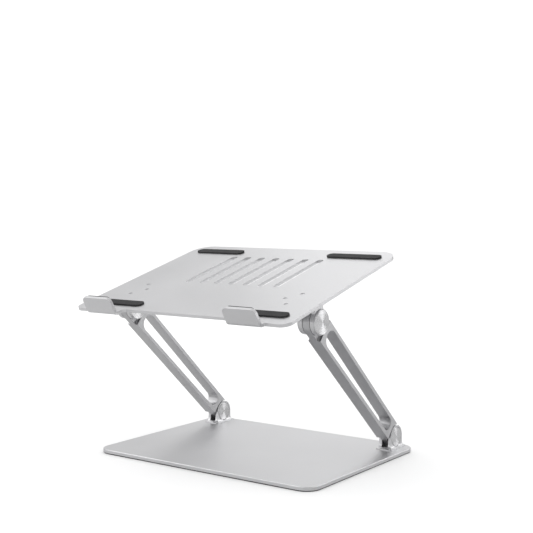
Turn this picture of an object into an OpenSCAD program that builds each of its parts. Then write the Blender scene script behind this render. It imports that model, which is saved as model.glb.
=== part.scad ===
// Folding laptop stand: a base plate, two slotted legs and a tray with two front hooks.
// Millimetres. X runs to the right, Y to the back, Z up.
// The origin is the centre of the underside of the base, on the desk.

/* [Base] */
// Width of the base plate
base_w = 260; // [220:1:320]
// Depth of the base plate
base_d = 196; // [170:1:260]
// Thickness of the base plate
base_t = 3.5; // [3:0.1:6]
// Radius of the base plate's corners in plan
base_corner = 15; // [6:1:30]
// Chamfer round the top edge of the base plate
base_chamfer = 0.5; // [0.2:0.1:1]
// Thickness of the rubber mat under the base plate
mat_t = 1; // [0.6:0.1:3]
// Distance that the mat stays inside the edge of the plate
mat_inset = 1; // [1:0.5:5]

/* [Legs] */
// Distance between the lower and the upper pivot
leg_l = 195.5; // [140:0.5:260]
// Angle of the legs above the desk at rest
leg_angle = 42; // [20:1:75]
// Distance of the middle of each leg inside the side edge of the base
leg_inset = 19; // [14:0.1:30]
// Thickness of a leg
leg_t = 13.1; // [12:0.1:16]
// Depth of a leg at the lower pivot
leg_lower_w = 21.5; // [20:0.1:23]
// Depth of a leg at the upper pivot
leg_upper_w = 24.6; // [22:0.1:26]
// Width of the bars beside the slot at its lower end
leg_lower_bar = 3.9; // [3:0.1:6]
// Width of the bars beside the slot at its upper end
leg_upper_bar = 3.5; // [3:0.1:6]
// Wall between a slot and the end of its leg
leg_end_wall = 5.4; // [3:0.1:8]

/* [Lower hinge] */
// Distance of the lower pivot in front of the base's back edge
lower_inset = 19; // [17:0.5:40]
// Radius of the arched ears
lower_ear_r = 11.8; // [11:0.1:14]
// Thickness of each ear
lower_ear_t = 3; // [2.8:0.1:4]
// Distance that the leg's round tongue stays inside the arch
tongue_inset = 1.7; // [1:0.1:3]
// Thickness of the bracket's web right under the tongue
bracket_web = 1.3; // [1:0.1:4]
// Height of the web in front of the tongue and behind it
web_h = 2; // [1.5:0.1:2]
// Rim of the ear left round the disc that covers the pivot
lower_cap_rim = 1.8; // [1:0.1:3]
// Thickness of that disc
lower_cap_t = 1.05; // [0.9:0.05:1.2]
// Radius of the hollow shoulders that run down to the bracket's foot
shoulder_r = 4.2; // [2:0.1:6]
// Width that the foot stands out beyond each ear
foot_lip = 2.4; // [0.4:0.1:3]
// Thickness of the foot's rim
foot_t = 1; // [0.8:0.1:2.2]

/* [Upper hinge] */
// Radius of the hinge barrel
upper_r = 12.2; // [10.8:0.1:12.5]
// Thickness of the tongue at the upper pivot
upper_tongue_t = 7.2; // [6.4:0.1:8]
// Thickness of each ear of the tray bracket
upper_ear_t = 4.2; // [4:0.1:5]
// Thickness of the discs that cover the upper pivot
upper_cap_t = 1.7; // [1.4:0.1:2.4]
// Bevel round those discs
upper_cap_bevel = 1; // [0.6:0.1:1.2]
// Height of the neck between the barrel and its flange
neck_h = 2.5; // [2.5:0.1:8]
// Depth of that neck, front to back
neck_d = 14; // [11:0.5:15]
// Thickness of the flange under the tray
flange_t = 3; // [2.5:0.1:4]
// Length of the flange, front to back
flange_l = 44; // [36:1:56]
// Reach of the flange beyond the inner ear
flange_reach = 26; // [22:1:34]

/* [Pivots] */
// Diameter of the pivot shafts
shaft_d = 6; // [5:0.1:6.4]
// Outside diameter of the plain bushes
bush_d = 8; // [7.8:0.1:9]
// Thickness of the friction washers
washer_t = 0.45; // [0.3:0.05:0.6]

/* [Tray] */
// Distance that the tray stands out beyond the middle of each leg
tray_margin = 15.5; // [13:0.1:30]
// Depth of the tray without its hooks
tray_d = 205; // [180:1:260]
// Thickness of the tray's sheet
tray_t = 3; // [2.6:0.1:4]
// Angle of the tray above level at rest
tray_tilt = 15; // [0:1:30]
// Distance of the tray's front edge in front of the upper pivot
tray_front = 61; // [45:0.5:75]
// Distance that the front edge steps back between the hooks
tray_step = 5.5; // [2:0.5:8]
// Radius of the tray's front corners
tray_front_corner = 9; // [4:0.5:12]
// Radius of the tray's back corners
tray_back_corner = 20; // [8:1:40]

/* [Hooks] */
// Distance of the middle of each hook inside the side edge of the tray
hook_inset = 42; // [40:0.5:60]
// Width of a hook
hook_w = 36; // [26:0.5:40]
// Distance of the hook's inner face in front of the tray's front edge
hook_reach = 3.2; // [3:0.1:16]
// Length of the hook's upright lip
hook_h = 16.6; // [12:0.1:30]
// Angle through which the sheet is bent up
hook_bend = 75; // [60:1:90]
// Inside radius of the bend
hook_bend_r = 2; // [1.5:0.1:2]
// Radius of the lip's top corners
hook_corner = 5; // [3:0.5:8]
// Radius of the hollow corners between the hooks and the middle of the front edge
hook_fillet = 5; // [1:0.5:5]
// Radius of the hollow corners between the hooks and the outer ends of the front edge
hook_outer_fillet = 1; // [0.4:0.1:1]

/* [Air slots] */
// Number of air slots in the tray
slot_count = 7; // [3:2:9]
// Width of an air slot
slot_w = 7; // [5:0.5:7.5]
// Distance from one air slot to the next
slot_pitch = 18; // [14:0.5:20]
// Distance of the slots behind the tray brackets
slot_gap = 5; // [4:0.5:20]
// Distance of the slots in front of the tray's back edge
slot_back = 32; // [28:0.5:60]

/* [Pads] */
// Thickness of the rubber pads
pad_t = 1.5; // [1:0.1:3]
// Length of a tray pad
tray_pad_l = 62; // [30:1:76]
// Width of a tray pad
tray_pad_w = 11; // [6:0.5:12]
// Distance of the tray pads from the front and back edges
tray_pad_edge = 14; // [9:0.5:16]
// Distance that a hook pad stays inside the sides of its lip
lip_pad_inset = 3; // [2:0.5:6]

/* [Hidden] */

$fn = 96;

// Overlap that joins two shapes of one piece, and the amount a flat stays inside a round
eps = 0.01;

// Clearances
fit_gap = 0.03;
seat_gap = 0.02;
face_gap = 0.05;
pocket_gap = 0.2;
swing_gap = 0.4;
end_gap = 1.1;

// Base
base_top = mat_t + base_t;
leg_x = base_w / 2 - leg_inset;

// Pivots
lower_tongue_r = lower_ear_r - tongue_inset;
lower_axis_h = lower_tongue_r + swing_gap + bracket_web;
lower_y = base_d / 2 - lower_inset;
lower_z = base_top + lower_axis_h;
upper_y = lower_y - leg_l * cos(leg_angle);
upper_z = lower_z + leg_l * sin(leg_angle);

// Where each leg ends, measured from its pivots
lower_end = lower_ear_r + end_gap;
upper_end = upper_r + end_gap + 0.2;
root_fillet = 0.9;

// Lower hinge, distances along X from the middle of the leg
lower_ear_in = leg_t / 2 - lower_ear_t;
lower_tongue_t = 2 * (lower_ear_in - washer_t - 2 * face_gap);
lower_cap_r = lower_ear_r - lower_cap_rim;
lower_cap_proud = 0.15;
lower_cap_edge = 0.25;
lower_cap_seat = leg_t / 2 + lower_cap_proud - lower_cap_t;
collar_r = shaft_d / 2 + 2.4;
collar_t = 0.75;
collar_seat = lower_cap_seat - collar_t;
foot_corner = 2.5;

// Upper hinge, distances along X from the middle of the leg
upper_ear_in = upper_tongue_t / 2 + washer_t + 2 * face_gap;
upper_ear_out = upper_ear_in + upper_ear_t;
upper_cap_r = upper_r - 0.15;
spigot_h = 0.4;
head_r = shaft_d / 2 + 2.5;
nut_r = shaft_d / 2 + 2.7;
pocket_r = shaft_d / 2 + 3.4;
pocket_floor = upper_ear_in + 1.8;
pocket_top = upper_ear_out - spigot_h - 0.1;
spring_t = 0.7;
washer_rim = 0.8;

// Tray, heights square to the sheet above the upper pivot and distances along it
flange_under = upper_r + neck_h;
tray_under = flange_under + flange_t;
tray_top = tray_under + tray_t;
neck_fillet = 3;
flange_corner = 6;
tray_half = leg_x + tray_margin;
front_edge = -tray_front;
back_edge = front_edge + tray_d;
hook_x = tray_half - hook_inset;
hook_y = front_edge - hook_reach;
bend_run = hook_bend_r * tan(hook_bend / 2);
slot_front = flange_l / 2 + slot_gap;

// Screws
base_screw_d = 3;
base_screw_head = 5.6;
base_screw_y = lower_ear_r - 0.5;
base_screw_l = base_t + web_h - 0.6;
tray_screw_d = 4;
tray_screw_head = 7.4;
tray_screw_l = flange_t + tray_t - 0.4;
tray_screw_spots = [[17, -14], [17, 14], [27, 0]];
screw_edge = 0.3;
screw_gap = 0.05;

silver = [0.80, 0.80, 0.81];
bright = [0.88, 0.88, 0.89];
steel = [0.62, 0.62, 0.64];
black = [0.08, 0.08, 0.08];

// Half the depth of a leg at a distance from its lower pivot
function leg_half(s) = (leg_lower_w + (leg_upper_w - leg_lower_w) * s / leg_l) / 2;

// Points of an arc
function arc(x, y, r, from, to, steps) =
    [for (i = [0:steps]) let (a = from + (to - from) * i / steps) [x + r * cos(a), y + r * sin(a)]];

// ---------- Shared shapes ----------

// Rectangle with one radius at its front corners and one at its back corners
module plan(x0, x1, y0, y1, front_r, back_r, steps = 16)
    polygon(concat(
        arc(x0 + front_r, y0 + front_r, front_r, 180, 270, steps),
        arc(x1 - front_r, y0 + front_r, front_r, 270, 360, steps),
        arc(x1 - back_r, y1 - back_r, back_r, 0, 90, steps),
        arc(x0 + back_r, y1 - back_r, back_r, 90, 180, steps)));

// Hollow fillet that fills the corner between the X and Y axes
module corner_fillet(r)
    translate([-eps, -eps]) difference() {
        square([r, r]);
        translate([r + eps, r + eps]) circle(r);
    }

// Cylinder along X from x0 to x1
module bar_x(r, x0, x1)
    translate([x0, 0, 0]) rotate([0, 90, 0]) cylinder(r = r, h = x1 - x0);

// Ring along X from x0 to x1
module ring_x(outer_r, inner_r, x0, x1)
    difference() {
        bar_x(outer_r, x0, x1);
        bar_x(inner_r, x0 - 1, x1 + 1);
    }

// Outline drawn in the YZ plane, as a slab along X from x0 to x1
module slab_x(x0, x1)
    translate([x0, 0, 0]) rotate([90, 0, 90]) linear_extrude(x1 - x0) children();

// Profile turned round the X axis, its Y values running along X
module turned_x()
    rotate([0, 90, 0]) rotate_extrude() children();

// Countersunk screw pointing up, its head's flat face at zero
module screw(d, head, l)
    rotate_extrude() polygon([
        [0, 0], [head / 2, 0], [head / 2, screw_edge], [d / 2, screw_edge + (head - d) / 2],
        [d / 2, l], [0, l]]);

// The countersunk hole that such a screw passes through
module screw_hole(d, head, l)
    rotate_extrude() polygon([
        [0, -1], [head / 2 + screw_gap, -1], [head / 2 + screw_gap, screw_edge + screw_gap],
        [d / 2 + screw_gap, screw_edge + screw_gap + (head - d) / 2], [d / 2 + screw_gap, l], [0, l]]);

// Both halves of something that is the same on either side of a leg
module both_faces()
    for (m = [0, 1]) mirror([m, 0, 0]) children();

// Frames: s is -1 on the left and 1 on the right, and X points away from the middle of the stand
module outward(s)
    mirror([s < 0 ? 1 : 0, 0, 0]) children();

module at_lower(s)
    translate([s * leg_x, lower_y, lower_z]) outward(s) children();

module at_leg(s)
    translate([s * leg_x, lower_y, lower_z]) rotate([-leg_angle, 0, 0]) children();

module in_tray()
    translate([0, upper_y, upper_z]) rotate([tray_tilt, 0, 0]) children();

module at_upper(s)
    in_tray() translate([s * leg_x, 0, 0]) outward(s) children();

module on_lip(s)
    in_tray() translate([s * hook_x, hook_y, tray_top]) rotate([180 - hook_bend, 0, 0]) children();

// ---------- Base ----------

module base_screw_places(s)
    for (y = [-1, 1]) translate([s * leg_x, lower_y + y * base_screw_y, mat_t]) children();

module base_outline(inset)
    plan(inset - base_w / 2, base_w / 2 - inset, inset - base_d / 2, base_d / 2 - inset,
        base_corner - inset, base_corner - inset);

module base_plate() color(silver) difference() {
    translate([0, 0, mat_t]) hull() {
        linear_extrude(base_t - base_chamfer) base_outline(0);
        linear_extrude(base_t) base_outline(base_chamfer);
    }
    for (s = [-1, 1]) base_screw_places(s) screw_hole(base_screw_d, base_screw_head, base_t + 1);
}

module base_mat() color(black) linear_extrude(mat_t) base_outline(mat_inset);

// Side view of the base bracket: an arch whose shoulders run down to a thin foot
module base_bracket_outline() {
    translate([0, lower_axis_h]) circle(lower_ear_r);
    translate([eps - lower_ear_r, 0]) square([2 * (lower_ear_r - eps), lower_axis_h]);
    for (m = [0, 1]) mirror([m, 0]) translate([lower_ear_r - eps, foot_t]) corner_fillet(shoulder_r);
}

module base_bracket(s) color(silver) difference() {
    translate([s * leg_x, lower_y, base_top]) difference() {
        union() {
            slab_x(-leg_t / 2, leg_t / 2) base_bracket_outline();
            linear_extrude(foot_t)
                plan(-leg_t / 2 - foot_lip, leg_t / 2 + foot_lip, -lower_ear_r - shoulder_r,
                    lower_ear_r + shoulder_r, foot_corner, foot_corner);
            both_faces() translate([leg_t / 2, 0, foot_t]) rotate([90, 0, 0])
                linear_extrude(2 * lower_ear_r, center = true) corner_fillet(foot_lip - 0.1);
        }
        // room between the ears for the leg's tongue
        translate([-lower_ear_in, -2 * lower_ear_r, web_h])
            cube([2 * lower_ear_in, 4 * lower_ear_r, 3 * lower_ear_r]);
        translate([0, 0, lower_axis_h])
            bar_x(lower_tongue_r + swing_gap, -lower_ear_in, lower_ear_in);
        // bore, and on both faces the recesses for the collar and the disc
        translate([0, 0, lower_axis_h]) {
            bar_x(shaft_d / 2 + seat_gap, -leg_t, leg_t);
            both_faces() bar_x(collar_r + pocket_gap, collar_seat, leg_t);
            both_faces() bar_x(lower_cap_r + seat_gap, lower_cap_seat, leg_t);
        }
    }
    base_screw_places(s) translate([0, 0, base_t - 1])
        cylinder(d = base_screw_d + 2 * screw_gap, h = web_h + 2);
}

module left_base_bracket() base_bracket(-1);
module right_base_bracket() base_bracket(1);

module base_bracket_screws() color(steel)
    for (s = [-1, 1]) base_screw_places(s) screw(base_screw_d, base_screw_head, base_screw_l);

// ---------- Lower pivots ----------

// Shaft with a head on its outer end; a collar holds its inner end
module lower_shaft(s) color(steel) at_lower(s) {
    bar_x(shaft_d / 2, -lower_cap_seat, lower_cap_seat);
    bar_x(collar_r, collar_seat, lower_cap_seat);
}

module left_lower_shaft() lower_shaft(-1);
module right_lower_shaft() lower_shaft(1);

module lower_shaft_collars() color(steel)
    for (s = [-1, 1]) at_lower(s)
        ring_x(collar_r, shaft_d / 2 + seat_gap, -lower_cap_seat, -collar_seat);

module lower_friction_washers() color(black)
    for (s = [-1, 1]) at_lower(s) both_faces()
        ring_x(lower_tongue_r - washer_rim, shaft_d / 2 + pocket_gap,
            lower_ear_in - face_gap - washer_t, lower_ear_in - face_gap);

// Disc with a fine bevel, on the outer face of a leg's hinge or, mirrored, on its inner face
module lower_cap() color(bright)
    translate([lower_cap_seat, 0, 0]) turned_x() polygon([
        [0, 0], [lower_cap_r, 0], [lower_cap_r, lower_cap_t - lower_cap_edge],
        [lower_cap_r - lower_cap_edge, lower_cap_t], [0, lower_cap_t]]);

module left_lower_outer_cap() at_lower(-1) lower_cap();
module left_lower_inner_cap() at_lower(-1) mirror([1, 0, 0]) lower_cap();
module right_lower_outer_cap() at_lower(1) lower_cap();
module right_lower_inner_cap() at_lower(1) mirror([1, 0, 0]) lower_cap();

// ---------- Legs ----------

// Tapered slot with round ends
module leg_slot() {
    lower_r = leg_half(lower_end) - leg_lower_bar;
    upper_slot_r = leg_half(leg_l - upper_end) - leg_upper_bar;
    lower_s = lower_end + leg_end_wall + lower_r;
    upper_s = leg_l - upper_end - leg_end_wall - upper_slot_r;
    a = asin((upper_slot_r - lower_r) / (upper_s - lower_s));
    translate([-lower_s, 0]) circle(lower_r);
    translate([-upper_s, 0]) circle(upper_slot_r);
    // the sides stay a hair inside the common tangents
    p = [sin(a), cos(a)];
    q = [sin(a), -cos(a)];
    polygon([
        [-lower_s, 0] + (lower_r - eps) * p, [-upper_s, 0] + (upper_slot_r - eps) * p,
        [-upper_s, 0] + (upper_slot_r - eps) * q, [-lower_s, 0] + (lower_r - eps) * q]);
}

// Side view: a square cut at the upper end, and a lower end that hugs the arch behind the pivot
module leg_outline() difference() {
    polygon([
        [-lower_end / 2, leg_half(lower_end / 2)], [upper_end - leg_l, leg_half(leg_l - upper_end)],
        [upper_end - leg_l, -leg_half(leg_l - upper_end)], [-lower_end - 0.1, -leg_half(lower_end)],
        [-lower_end - 0.1, 0], [-lower_end / 2, 0]]);
    circle(lower_end);
    leg_slot();
}

module lower_tongue_outline() {
    reach = lower_end + leg_end_wall / 2;
    circle(lower_tongue_r);
    polygon([
        [0, lower_tongue_r - 5 * eps], [-reach, leg_half(reach) - 5 * eps],
        [-reach, 5 * eps - leg_half(reach)], [0, 5 * eps - lower_tongue_r]]);
}

module upper_tongue_outline() {
    circle(upper_r);
    translate([0, eps - upper_r]) square([upper_end + leg_end_wall / 2, 2 * (upper_r - eps)]);
}

module leg(s) color(silver) at_leg(s) difference() {
    union() {
        slab_x(-leg_t / 2, leg_t / 2) leg_outline();
        slab_x(-lower_tongue_t / 2, lower_tongue_t / 2) lower_tongue_outline();
        translate([0, -leg_l, 0])
            slab_x(-upper_tongue_t / 2, upper_tongue_t / 2) upper_tongue_outline();
        // fillets at the root of the upper tongue
        both_faces() translate([upper_tongue_t / 2, upper_end - leg_l, 0])
            linear_extrude(2 * upper_r - 1, center = true) mirror([0, 1]) corner_fillet(root_fillet);
    }
    bar_x(bush_d / 2 + seat_gap, -leg_t, leg_t);
    translate([0, -leg_l, 0]) bar_x(bush_d / 2 + seat_gap, -leg_t, leg_t);
}

module left_leg() leg(-1);
module right_leg() leg(1);

module bush(length) color(steel)
    ring_x(bush_d / 2, shaft_d / 2 + fit_gap, -length / 2, length / 2);

module left_lower_bush() at_lower(-1) bush(lower_tongue_t);
module right_lower_bush() at_lower(1) bush(lower_tongue_t);
module left_upper_bush() at_upper(-1) bush(upper_tongue_t);
module right_upper_bush() at_upper(1) bush(upper_tongue_t);

// ---------- Tray ----------

// Right half of the sheet's outline: the stepped front edge, the flat part of the hook and the side
function tray_right_half() =
    let (inner_x = hook_x - hook_w / 2, outer_x = hook_x + hook_w / 2)
    let (inner_y = front_edge + tray_step, bend_y = hook_y + bend_run)
    concat(
        arc(inner_x - hook_fillet, inner_y - hook_fillet, hook_fillet, 90, 0, 12),
        [[inner_x, bend_y], [outer_x, bend_y]],
        arc(outer_x + hook_outer_fillet, front_edge - hook_outer_fillet, hook_outer_fillet, 180, 90, 6),
        arc(tray_half - tray_front_corner, front_edge + tray_front_corner, tray_front_corner, 270, 360, 12),
        arc(tray_half - tray_back_corner, back_edge - tray_back_corner, tray_back_corner, 0, 90, 20));

module air_slot() {
    length = back_edge - slot_back - slot_front;
    translate([0, slot_w / 2]) circle(d = slot_w);
    translate([0, length - slot_w / 2]) circle(d = slot_w);
    translate([eps - slot_w / 2, slot_w / 2]) square([slot_w - 2 * eps, length - slot_w]);
}

module tray_outline() difference() {
    right = tray_right_half();
    left = [for (i = [len(right) - 1:-1:0]) [-right[i][0], right[i][1]]];
    polygon(concat(right, left));
    for (i = [0:slot_count - 1])
        translate([(i - (slot_count - 1) / 2) * slot_pitch, slot_front]) air_slot();
}

// Side view of a hook: the bend and the upright lip
module hook_profile() {
    y = hook_y + bend_run;
    z = tray_top + hook_bend_r;
    up = [-cos(hook_bend), sin(hook_bend)];
    out = [-sin(hook_bend), -cos(hook_bend)];
    tip = [hook_y, tray_top] + hook_h * up;
    polygon(concat(
        arc(y, z, hook_bend_r + tray_t, 270, 270 - hook_bend, 14),
        [tip + tray_t * out, tip],
        arc(y, z, hook_bend_r, 270 - hook_bend, 270, 14)));
}

// Front view of a lip, long enough below to cover the bend
module lip_outline()
    polygon(concat(
        [[-hook_w / 2, -hook_h], [hook_w / 2, -hook_h]],
        arc(hook_w / 2 - hook_corner, hook_h - hook_corner, hook_corner, 0, 90, 14),
        arc(hook_corner - hook_w / 2, hook_h - hook_corner, hook_corner, 90, 180, 14)));

module hook(s) intersection() {
    in_tray() translate([s * hook_x, 0, 0]) slab_x(-hook_w, hook_w) hook_profile();
    on_lip(s) linear_extrude(2 * hook_h, center = true) lip_outline();
}

module tray_screw_places(s)
    for (p = tray_screw_spots) at_upper(s) translate([-p[0], p[1], flange_under]) children();

module tray_plate() color(silver) difference() {
    union() {
        in_tray() translate([0, 0, tray_under]) linear_extrude(tray_t) tray_outline();
        for (s = [-1, 1]) hook(s);
    }
    for (s = [-1, 1]) tray_screw_places(s) translate([0, 0, flange_t - 1])
        cylinder(d = tray_screw_d + 2 * screw_gap, h = tray_t + 2);
}

// ---------- Tray brackets ----------

// Side view: the round barrel and the neck that widens into the flange
module tray_bracket_outline() {
    circle(upper_r);
    translate([-neck_d / 2, 0]) square([neck_d, flange_under + eps]);
    for (m = [0, 1]) mirror([m, 0]) translate([neck_d / 2, flange_under])
        mirror([0, 1]) corner_fillet(neck_fillet);
}

module tray_bracket(s) color(silver) difference() {
    at_upper(s) difference() {
        union() {
            slab_x(-upper_ear_out, upper_ear_out) tray_bracket_outline();
            translate([0, 0, flange_under]) linear_extrude(flange_t)
                plan(-upper_ear_out - flange_reach, upper_ear_out, -flange_l / 2, flange_l / 2,
                    flange_corner, flange_corner);
        }
        // room between the ears for the leg's tongue
        translate([-upper_ear_in, -flange_l, -2 * upper_r])
            cube([2 * upper_ear_in, 2 * flange_l, 3 * upper_r + swing_gap]);
        // bore, and a pocket in each ear for the shaft's head or its nut
        bar_x(shaft_d / 2 + seat_gap, -2 * upper_ear_out, 2 * upper_ear_out);
        both_faces() bar_x(pocket_r, pocket_floor, 2 * upper_ear_out);
    }
    tray_screw_places(s) screw_hole(tray_screw_d, tray_screw_head, flange_t + 1);
}

module left_tray_bracket() tray_bracket(-1);
module right_tray_bracket() tray_bracket(1);

module tray_bracket_screws() color(steel)
    for (s = [-1, 1]) tray_screw_places(s) screw(tray_screw_d, tray_screw_head, tray_screw_l);

// ---------- Upper pivots ----------

// Shaft with its head in the outer ear and its threaded end in the inner one
module upper_shaft(s) color(steel) at_upper(s) {
    bar_x(shaft_d / 2, -pocket_top, pocket_top);
    bar_x(head_r, pocket_floor, pocket_top);
}

module left_upper_shaft() upper_shaft(-1);
module right_upper_shaft() upper_shaft(1);

module upper_friction_washers() color(black)
    for (s = [-1, 1]) at_upper(s) both_faces()
        ring_x(upper_r - washer_rim, shaft_d / 2 + pocket_gap,
            upper_ear_in - face_gap - washer_t, upper_ear_in - face_gap);

module upper_spring_washers() color(steel)
    for (s = [-1, 1]) at_upper(s)
        ring_x(head_r, shaft_d / 2 + pocket_gap, -pocket_floor - spring_t, -pocket_floor);

module upper_shaft_nuts() color(steel)
    for (s = [-1, 1]) at_upper(s) difference() {
        translate([-pocket_top, 0, 0]) rotate([0, 90, 0])
            cylinder(r = nut_r, h = pocket_top - pocket_floor - spring_t, $fn = 6);
        bar_x(shaft_d / 2 + seat_gap, -pocket_top - 1, 0);
    }

// Disc with a bevelled rim and a spigot that drops into the ear's pocket
module upper_cap() color(bright)
    translate([upper_ear_out, 0, 0]) turned_x() polygon([
        [0, -spigot_h], [pocket_r - seat_gap, -spigot_h], [pocket_r - seat_gap, 0], [upper_cap_r, 0],
        [upper_cap_r, upper_cap_t - upper_cap_bevel], [upper_cap_r - upper_cap_bevel, upper_cap_t],
        [0, upper_cap_t]]);

module left_upper_outer_cap() at_upper(-1) upper_cap();
module left_upper_inner_cap() at_upper(-1) mirror([1, 0, 0]) upper_cap();
module right_upper_outer_cap() at_upper(1) upper_cap();
module right_upper_inner_cap() at_upper(1) mirror([1, 0, 0]) upper_cap();

// ---------- Pads ----------

module hook_pad(s) color(black) on_lip(s) translate([0, 0, -pad_t]) linear_extrude(pad_t)
    plan(lip_pad_inset - hook_w / 2, hook_w / 2 - lip_pad_inset, bend_run + 0.5, hook_h - 0.4,
        1, hook_corner - 1.5);

module left_hook_pad() hook_pad(-1);
module right_hook_pad() hook_pad(1);

// Long pad with round ends, its front side at y
module tray_pad(s, y) color(black) in_tray() translate([s * hook_x, 0, tray_top]) linear_extrude(pad_t)
    plan(-tray_pad_l / 2, tray_pad_l / 2, y, y + tray_pad_w, tray_pad_w / 2 - eps, tray_pad_w / 2 - eps);

module left_front_pad() tray_pad(-1, front_edge + tray_pad_edge);
module right_front_pad() tray_pad(1, front_edge + tray_pad_edge);
module left_back_pad() tray_pad(-1, back_edge - tray_pad_edge - tray_pad_w);
module right_back_pad() tray_pad(1, back_edge - tray_pad_edge - tray_pad_w);

base_plate();
base_mat();
left_base_bracket();
right_base_bracket();
base_bracket_screws();
left_lower_shaft();
right_lower_shaft();
lower_shaft_collars();
lower_friction_washers();
left_lower_outer_cap();
left_lower_inner_cap();
right_lower_outer_cap();
right_lower_inner_cap();
left_leg();
right_leg();
left_lower_bush();
right_lower_bush();
left_upper_bush();
right_upper_bush();
tray_plate();
left_tray_bracket();
right_tray_bracket();
tray_bracket_screws();
left_upper_shaft();
right_upper_shaft();
upper_friction_washers();
upper_spring_washers();
upper_shaft_nuts();
left_upper_outer_cap();
left_upper_inner_cap();
right_upper_outer_cap();
right_upper_inner_cap();
left_hook_pad();
right_hook_pad();
left_front_pad();
right_front_pad();
left_back_pad();
right_back_pad();
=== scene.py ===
"""Looks for the folding laptop stand: anodised aluminium, turned hinge discs and rubber pads.

Metres, in the frame of the CAD: X to the right, Y to the back, Z up, origin under the base.
"""

import math

import bmesh
import bpy
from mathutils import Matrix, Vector


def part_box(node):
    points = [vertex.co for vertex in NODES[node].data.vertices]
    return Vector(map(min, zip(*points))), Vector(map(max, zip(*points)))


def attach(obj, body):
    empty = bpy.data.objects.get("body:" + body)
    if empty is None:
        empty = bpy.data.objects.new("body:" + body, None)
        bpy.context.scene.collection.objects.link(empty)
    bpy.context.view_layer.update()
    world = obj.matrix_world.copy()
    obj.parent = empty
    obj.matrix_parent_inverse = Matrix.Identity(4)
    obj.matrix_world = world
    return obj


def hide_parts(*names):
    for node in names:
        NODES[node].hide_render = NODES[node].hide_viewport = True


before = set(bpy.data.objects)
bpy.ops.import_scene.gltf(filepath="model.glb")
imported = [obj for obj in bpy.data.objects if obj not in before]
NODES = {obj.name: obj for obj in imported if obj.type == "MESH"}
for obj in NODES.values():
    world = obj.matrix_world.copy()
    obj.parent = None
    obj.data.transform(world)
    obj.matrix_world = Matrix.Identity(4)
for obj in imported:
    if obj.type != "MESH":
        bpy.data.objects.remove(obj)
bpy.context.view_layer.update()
SIDES = ("left", "right")
FACES = ("outer", "inner")
LEVELS = ("lower", "upper")
MM = 0.001

# Rounding that the shading gives to every CAD edge
EDGE_ROUND = 0.45 * MM


# ---------- Materials ----------

class Graph:
    """A material's node tree, with short calls for the nodes that it uses most."""

    def __init__(self, name):
        self.material = bpy.data.materials.new(name)
        self.material.use_nodes = True
        self.tree = self.material.node_tree
        self.tree.nodes.clear()
        self.shader = self.node("ShaderNodeBsdfPrincipled")
        output = self.node("ShaderNodeOutputMaterial")
        self.link(self.shader.outputs["BSDF"], output.inputs["Surface"])
        self.coords = self.node("ShaderNodeTexCoord").outputs["Object"]

    def node(self, kind, **values):
        made = self.tree.nodes.new(kind)
        for key, value in values.items():
            setattr(made, key, value)
        return made

    def link(self, source, target):
        self.tree.links.new(source, target)

    def feed(self, socket, source):
        self.link(source, self.shader.inputs[socket])

    def set(self, **values):
        """Sets the shader's own sockets; an underscore in a name stands for a space."""
        for key, value in values.items():
            self.shader.inputs[key.replace("_", " ")].default_value = value

    def stretched(self, scale):
        mapping = self.node("ShaderNodeMapping")
        self.link(self.coords, mapping.inputs["Vector"])
        mapping.inputs["Scale"].default_value = scale
        return mapping.outputs["Vector"]

    def noise(self, scale, detail=2.0, vector=None):
        made = self.node("ShaderNodeTexNoise")
        self.link(vector or self.coords, made.inputs["Vector"])
        made.inputs["Scale"].default_value = scale
        made.inputs["Detail"].default_value = detail
        return made.outputs["Fac"]

    def cells(self, scale):
        made = self.node("ShaderNodeTexVoronoi")
        self.link(self.coords, made.inputs["Vector"])
        made.inputs["Scale"].default_value = scale
        return made.outputs["Distance"]

    def math(self, operation, a, b):
        made = self.node("ShaderNodeMath", operation=operation)
        for socket, value in zip(made.inputs, (a, b)):
            if isinstance(value, (int, float)):
                socket.default_value = value
            else:
                self.link(value, socket)
        return made.outputs[0]

    def spread(self, value, low, high, from_low=0.3, from_high=0.7):
        made = self.node("ShaderNodeMapRange", clamp=True)
        self.link(value, made.inputs["Value"])
        made.inputs["From Min"].default_value = from_low
        made.inputs["From Max"].default_value = from_high
        made.inputs["To Min"].default_value = low
        made.inputs["To Max"].default_value = high
        return made.outputs["Result"]

    def between(self, factor, low, high):
        made = self.node("ShaderNodeMix", data_type="RGBA")
        self.link(factor, made.inputs[0])
        made.inputs[6].default_value = (*low, 1.0)
        made.inputs[7].default_value = (*high, 1.0)
        return made.outputs[2]

    def rounded(self, radius=EDGE_ROUND):
        made = self.node("ShaderNodeBevel", samples=4)
        made.inputs["Radius"].default_value = radius
        return made.outputs["Normal"]

    def bump(self, height, distance, after=None):
        made = self.node("ShaderNodeBump")
        made.inputs["Distance"].default_value = distance
        self.link(height, made.inputs["Height"])
        if after is not None:
            self.link(after, made.inputs["Normal"])
        self.feed("Normal", made.outputs["Normal"])


def anodised(name, low, high, smooth, dull, grain):
    """Bead-blasted, clear-anodised aluminium: fine even grain and faint broad cloudiness."""
    g = Graph(name)
    g.set(Metallic=1.0)
    cloud = g.noise(11.0, 3.0)
    g.feed("Base Color", g.between(g.spread(cloud, 0.0, 1.0), low, high))
    fine = g.noise(1100.0)
    speckle = g.spread(fine, -0.05, 0.05)
    g.feed("Roughness", g.math("ADD", g.spread(cloud, smooth, dull), speckle))
    g.bump(g.math("ADD", fine, g.math("MULTIPLY", g.cells(1800.0), 0.6)), grain, g.rounded())
    return g.material


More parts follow.
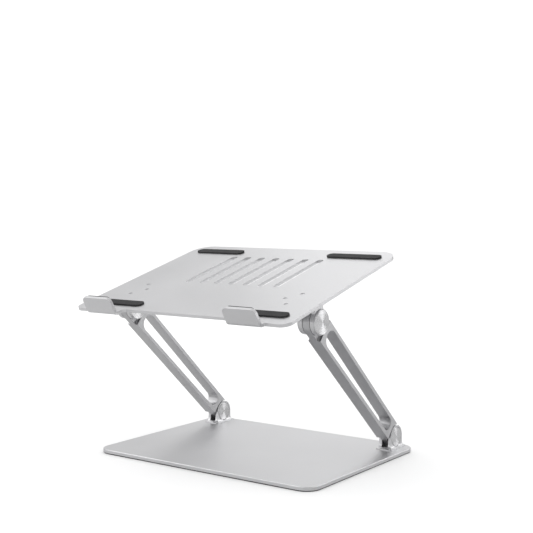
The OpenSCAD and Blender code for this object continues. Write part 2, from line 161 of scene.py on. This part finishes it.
def turned(name):
    """Lathe-turned aluminium: light drawn out along the rings."""
    g = Graph(name)
    g.set(Metallic=1.0, Anisotropic=0.95, Anisotropic_Rotation=0.25)
    across = g.stretched((0.2, 1.0, 1.0))
    streaks = g.spread(g.noise(60.0, 2.0, across), 0.0, 1.0)
    g.feed("Base Color", g.between(streaks, (0.62, 0.62, 0.63), (0.72, 0.72, 0.73)))
    g.feed("Roughness", g.spread(g.noise(900.0), 0.25, 0.32))
    tangent = g.node("ShaderNodeTangent", direction_type="RADIAL", axis="X")
    g.feed("Tangent", tangent.outputs["Tangent"])
    g.bump(g.noise(2600.0), 0.002 * MM)
    return g.material


def steel(name, low, high, smooth, dull):
    g = Graph(name)
    g.set(Metallic=1.0)
    cloud = g.noise(120.0, 3.0)
    g.feed("Base Color", g.between(g.spread(cloud, 0.0, 1.0), low, high))
    g.feed("Roughness", g.spread(g.noise(700.0), smooth, dull))
    g.bump(g.noise(1500.0), 0.006 * MM, g.rounded(0.1 * MM))
    return g.material


def rubber(name, shade, grain_scale, grain):
    """Matt black silicone with a fine moulded grain and a little dust in its hollows."""
    g = Graph(name)
    g.set(Specular_IOR_Level=0.35)
    dust = g.noise(70.0, 4.0)
    light = tuple(1.7 * c for c in shade)
    g.feed("Base Color", g.between(g.spread(dust, 0.0, 1.0), shade, light))
    cells = g.cells(grain_scale)
    g.feed("Roughness", g.spread(cells, 0.62, 0.80, 0.0, 0.6))
    g.bump(g.math("ADD", cells, g.math("MULTIPLY", g.noise(2 * grain_scale), 0.5)), grain, g.rounded())
    return g.material


SHEET = anodised("anodised_sheet", (0.62, 0.62, 0.63), (0.66, 0.66, 0.67), 0.40, 0.46, 0.012 * MM)
BRACKET = anodised("anodised_bracket", (0.60, 0.60, 0.61), (0.65, 0.65, 0.66), 0.34, 0.40, 0.010 * MM)
LEG = anodised("anodised_leg", (0.48, 0.48, 0.49), (0.53, 0.53, 0.54), 0.36, 0.42, 0.030 * MM)
DISC = turned("spun_disc")
STEEL = steel("plated_steel", (0.46, 0.46, 0.47), (0.58, 0.58, 0.59), 0.28, 0.40)
BRONZE = steel("bearing_bronze", (0.42, 0.28, 0.12), (0.55, 0.38, 0.18), 0.34, 0.46)
NYLON = rubber("black_nylon", (0.018, 0.018, 0.019), 1400.0, 0.004 * MM)
MAT = rubber("rubber_mat", (0.020, 0.020, 0.021), 900.0, 0.010 * MM)
PAD = rubber("rubber_pad", (0.016, 0.016, 0.017), 1100.0, 0.008 * MM)

NODE_MATERIAL = {
    "base_plate": SHEET, "tray_plate": SHEET, "base_mat": MAT,
    "lower_friction_washers": NYLON, "upper_friction_washers": NYLON,
}
for node in NODES:
    if node.endswith("_bracket"):
        NODE_MATERIAL[node] = BRACKET
    elif node.endswith("_leg"):
        NODE_MATERIAL[node] = LEG
    elif node.endswith("_cap"):
        NODE_MATERIAL[node] = DISC
    elif node.endswith("_bush"):
        NODE_MATERIAL[node] = BRONZE
    elif node.endswith("_pad"):
        NODE_MATERIAL[node] = PAD
    elif node not in NODE_MATERIAL:
        NODE_MATERIAL[node] = STEEL
for node, material in NODE_MATERIAL.items():
    data = NODES[node].data
    data.materials.clear()
    data.materials.append(material)


# ---------- Hinge discs ----------

DISC_SEGMENTS = 128
RING_PITCH = 0.30 * MM
RING_DEPTH = 0.006 * MM
# Length of the spigot that sits inside the upper ear, which the disc leaves out
SPIGOT = 0.4 * MM
# Size of the groove behind an upper disc, and the gap round a lower one in its recess
GROOVE = 0.35 * MM
LOWER_GAP = 0.35 * MM
# Bevels, and how far the bevel's outer end is eased, as a share of it
LOWER_EDGE = 0.25 * MM
UPPER_EDGE = 1.0 * MM
EASE_IN = 0.12
EASE_DOWN = 0.15
SHARP_ANGLE = math.radians(25)


def turned_profile(radius, height, edge):
    """(radius, height) pairs from the middle out: fine rings, a bevel, the rim and its groove."""
    flat = radius - edge
    points = [(0.25 * RING_PITCH, height - RING_DEPTH)]
    rings = int((flat - RING_PITCH) / RING_PITCH)
    for i in range(rings):
        start = RING_PITCH * (i + 0.5)
        points.append((start, height - RING_DEPTH))
        points.append((start + 0.5 * RING_PITCH, height))
    points.append((flat, height))
    points.append((radius - EASE_IN * edge, height - (1 - EASE_IN) * edge))
    points.append((radius, height - (1 + EASE_DOWN) * edge))
    if height > 2 * GROOVE:
        points.append((radius, GROOVE))
        points.append((radius - GROOVE, GROOVE))
        points.append((radius - GROOVE, 0.0))
    else:
        points.append((radius, 0.0))
    return points


def hinge_disc(side, level, face):
    """A turned disc in place of a CAD cap, with its origin on the pivot so that its rings are true."""
    node = f"{side}_{level}_{face}_cap"
    low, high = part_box(node)
    out = (1 if side == "right" else -1) * (1 if face == "outer" else -1)
    radius = (high.y - low.y) / 2 - (LOWER_GAP if level == "lower" else 0)
    visible = (high.x - low.x) if level == "lower" else (high.x - low.x) - SPIGOT
    edge = LOWER_EDGE if level == "lower" else UPPER_EDGE
    seat = (high.x if out > 0 else low.x) - out * visible
    profile = turned_profile(radius, visible, edge)
    mesh = bmesh.new()
    rings = []
    for r, h in profile:
        ring = []
        for i in range(DISC_SEGMENTS):
            angle = 2 * math.pi * i / DISC_SEGMENTS
            ring.append(mesh.verts.new((out * h, r * math.cos(angle), out * r * math.sin(angle))))
        rings.append(ring)
    middle = mesh.verts.new((out * profile[0][1], 0, 0))
    back = mesh.verts.new((0, 0, 0))
    for i in range(DISC_SEGMENTS):
        j = (i + 1) % DISC_SEGMENTS
        mesh.faces.new((middle, rings[0][i], rings[0][j]))
        mesh.faces.new((back, rings[-1][j], rings[-1][i]))
        for a, b in zip(rings, rings[1:]):
            mesh.faces.new((a[i], b[i], b[j], a[j]))
    bmesh.ops.recalc_face_normals(mesh, faces=mesh.faces)
    data = bpy.data.meshes.new(f"{node}_turned")
    mesh.to_mesh(data)
    mesh.free()
    data.polygons.foreach_set("use_smooth", [True] * len(data.polygons))
    data.set_sharp_from_angle(angle=SHARP_ANGLE)
    data.materials.append(DISC)
    piece = bpy.data.objects.new(f"{node}_turned", data)
    bpy.context.collection.objects.link(piece)
    piece.location = (seat, (low.y + high.y) / 2, (low.z + high.z) / 2)
    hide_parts(node)
    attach(piece, "base" if level == "lower" else "tray")


for side in SIDES:
    for level in LEVELS:
        for face in FACES:
            hinge_disc(side, level, face)


# ---------- Studio ----------

FLOOR_HALF = 6.0
# Bright enough for the paper to stay white under soft shadow
WHITE = (1.15, 1.15, 1.15, 1.0)
# (place, brightness) stops of the dome that metal mirrors, from straight down to straight up, and
# once round from the left; the narrow bright stop draws the highlights on the turned discs
DOME_HEIGHT = (
    (0.0, 0.30), (0.40, 0.60), (0.52, 1.15), (0.60, 0.90), (0.70, 0.65), (0.80, 1.05), (0.92, 1.25),
    (1.0, 0.80))
DOME_ROUND = (
    (0.0, 0.75), (0.07, 0.95), (0.15, 1.90), (0.26, 0.80), (0.45, 0.45), (0.605, 0.32), (0.628, 2.6),
    (0.678, 2.6), (0.70, 0.32), (0.76, 0.50), (0.86, 0.90), (1.0, 0.75))
# The floor as metal mirrors it, darker than the eye sees it
FLOOR_IN_METAL = (0.60, 0.60, 0.60, 1.0)


def studio_floor():
    data = bpy.data.meshes.new("studio_floor")
    h = FLOOR_HALF
    data.from_pydata([(-h, -h, 0), (h, -h, 0), (h, h, 0), (-h, h, 0)], [], [(0, 1, 2, 3)])
    floor = bpy.data.objects.new("studio_floor", data)
    bpy.context.collection.objects.link(floor)
    g = Graph("studio_paper")
    g.set(Roughness=0.9, Specular_IOR_Level=0.1)
    paper = g.between(g.spread(g.noise(3.0), 0.0, 1.0), (0.91, 0.91, 0.91), (0.93, 0.93, 0.93))
    mirrored = g.node("ShaderNodeMix", data_type="RGBA")
    g.link(g.node("ShaderNodeLightPath").outputs["Is Glossy Ray"], mirrored.inputs[0])
    g.link(paper, mirrored.inputs[6])
    mirrored.inputs[7].default_value = FLOOR_IN_METAL
    g.feed("Base Color", mirrored.outputs[2])
    data.materials.append(g.material)


def soft_light(name, place, aim, size, power):
    data = bpy.data.lights.new(name, "AREA")
    data.shape = "RECTANGLE"
    data.size, data.size_y = size
    data.energy = power
    light = bpy.data.objects.new(name, data)
    light.location = place
    light.rotation_mode = "QUATERNION"
    light.rotation_quaternion = (Vector(aim) - Vector(place)).to_track_quat("-Z", "Y")
    bpy.context.collection.objects.link(light)


def studio_world():
    """Paper white to the eye and to the floor; the metal mirrors a dome with a dark side."""
    world = bpy.data.worlds.new("studio")
    bpy.context.scene.world = world
    world.use_nodes = True
    tree = world.node_tree
    tree.nodes.clear()

    def node(kind, **values):
        made = tree.nodes.new(kind)
        for key, value in values.items():
            setattr(made, key, value)
        return made

    def ramp(value, stops):
        made = node("ShaderNodeValToRGB")
        made.color_ramp.interpolation = "EASE"
        tree.links.new(value, made.inputs["Fac"])
        elements = made.color_ramp.elements
        elements.remove(elements[1])
        for i, (place, shade) in enumerate(stops):
            element = elements.new(place) if i else elements[0]
            element.color = (shade, shade, shade, 1.0)
        return made.outputs["Color"]

    output = node("ShaderNodeOutputWorld")
    paper = node("ShaderNodeBackground")
    dome = node("ShaderNodeBackground")
    path = node("ShaderNodeLightPath")
    mix = node("ShaderNodeMixShader")
    paper.inputs["Color"].default_value = WHITE
    axes = node("ShaderNodeSeparateXYZ")
    tree.links.new(node("ShaderNodeTexCoord").outputs["Generated"], axes.inputs["Vector"])
    half = node("ShaderNodeMath", operation="MULTIPLY_ADD")
    tree.links.new(axes.outputs["Z"], half.inputs[0])
    half.inputs[1].default_value = 0.5
    half.inputs[2].default_value = 0.5
    around = node("ShaderNodeMath", operation="ARCTAN2")
    tree.links.new(axes.outputs["Y"], around.inputs[0])
    tree.links.new(axes.outputs["X"], around.inputs[1])
    turn = node("ShaderNodeMath", operation="MULTIPLY_ADD")
    tree.links.new(around.outputs[0], turn.inputs[0])
    turn.inputs[1].default_value = 0.5 / math.pi
    turn.inputs[2].default_value = 0.5
    blend = node("ShaderNodeMix", data_type="RGBA", blend_type="MULTIPLY")
    blend.inputs[0].default_value = 1.0
    tree.links.new(ramp(half.outputs[0], DOME_HEIGHT), blend.inputs[6])
    tree.links.new(ramp(turn.outputs[0], DOME_ROUND), blend.inputs[7])
    tree.links.new(blend.outputs[2], dome.inputs["Color"])
    tree.links.new(path.outputs["Is Glossy Ray"], mix.inputs["Fac"])
    tree.links.new(paper.outputs["Background"], mix.inputs[1])
    tree.links.new(dome.outputs["Background"], mix.inputs[2])
    tree.links.new(mix.outputs["Shader"], output.inputs["Surface"])


studio_floor()
studio_world()
soft_light("key", (-1.3, -0.5, 1.7), (0, 0, 0.08), (1.6, 1.2), 5)
soft_light("fill", (1.5, -1.2, 1.0), (0, 0, 0.1), (1.4, 1.2), 2)
soft_light("back", (-0.3, 1.8, 1.3), (0, 0, 0.1), (2.2, 0.9), 5)

# ---------- Camera ----------

CAMERA_PLACE = Vector((0.62096, -0.84999, 0.25551))
CAMERA_YAW = math.radians(35.63)
CAMERA_PITCH = math.radians(3.60)
LENS = 70.5

camera_data = bpy.data.cameras.new("camera")
camera_data.lens = LENS
camera_data.sensor_width = 36.0
camera = bpy.data.objects.new("camera", camera_data)
bpy.context.collection.objects.link(camera)
camera.location = CAMERA_PLACE
camera.rotation_mode = "QUATERNION"
ahead = Vector((
    -math.sin(CAMERA_YAW) * math.cos(CAMERA_PITCH),
    math.cos(CAMERA_YAW) * math.cos(CAMERA_PITCH),
    -math.sin(CAMERA_PITCH)))
camera.rotation_quaternion = ahead.to_track_quat("-Z", "Y")
bpy.context.scene.camera = camera
bpy.context.scene.view_settings.view_transform = "Standard"
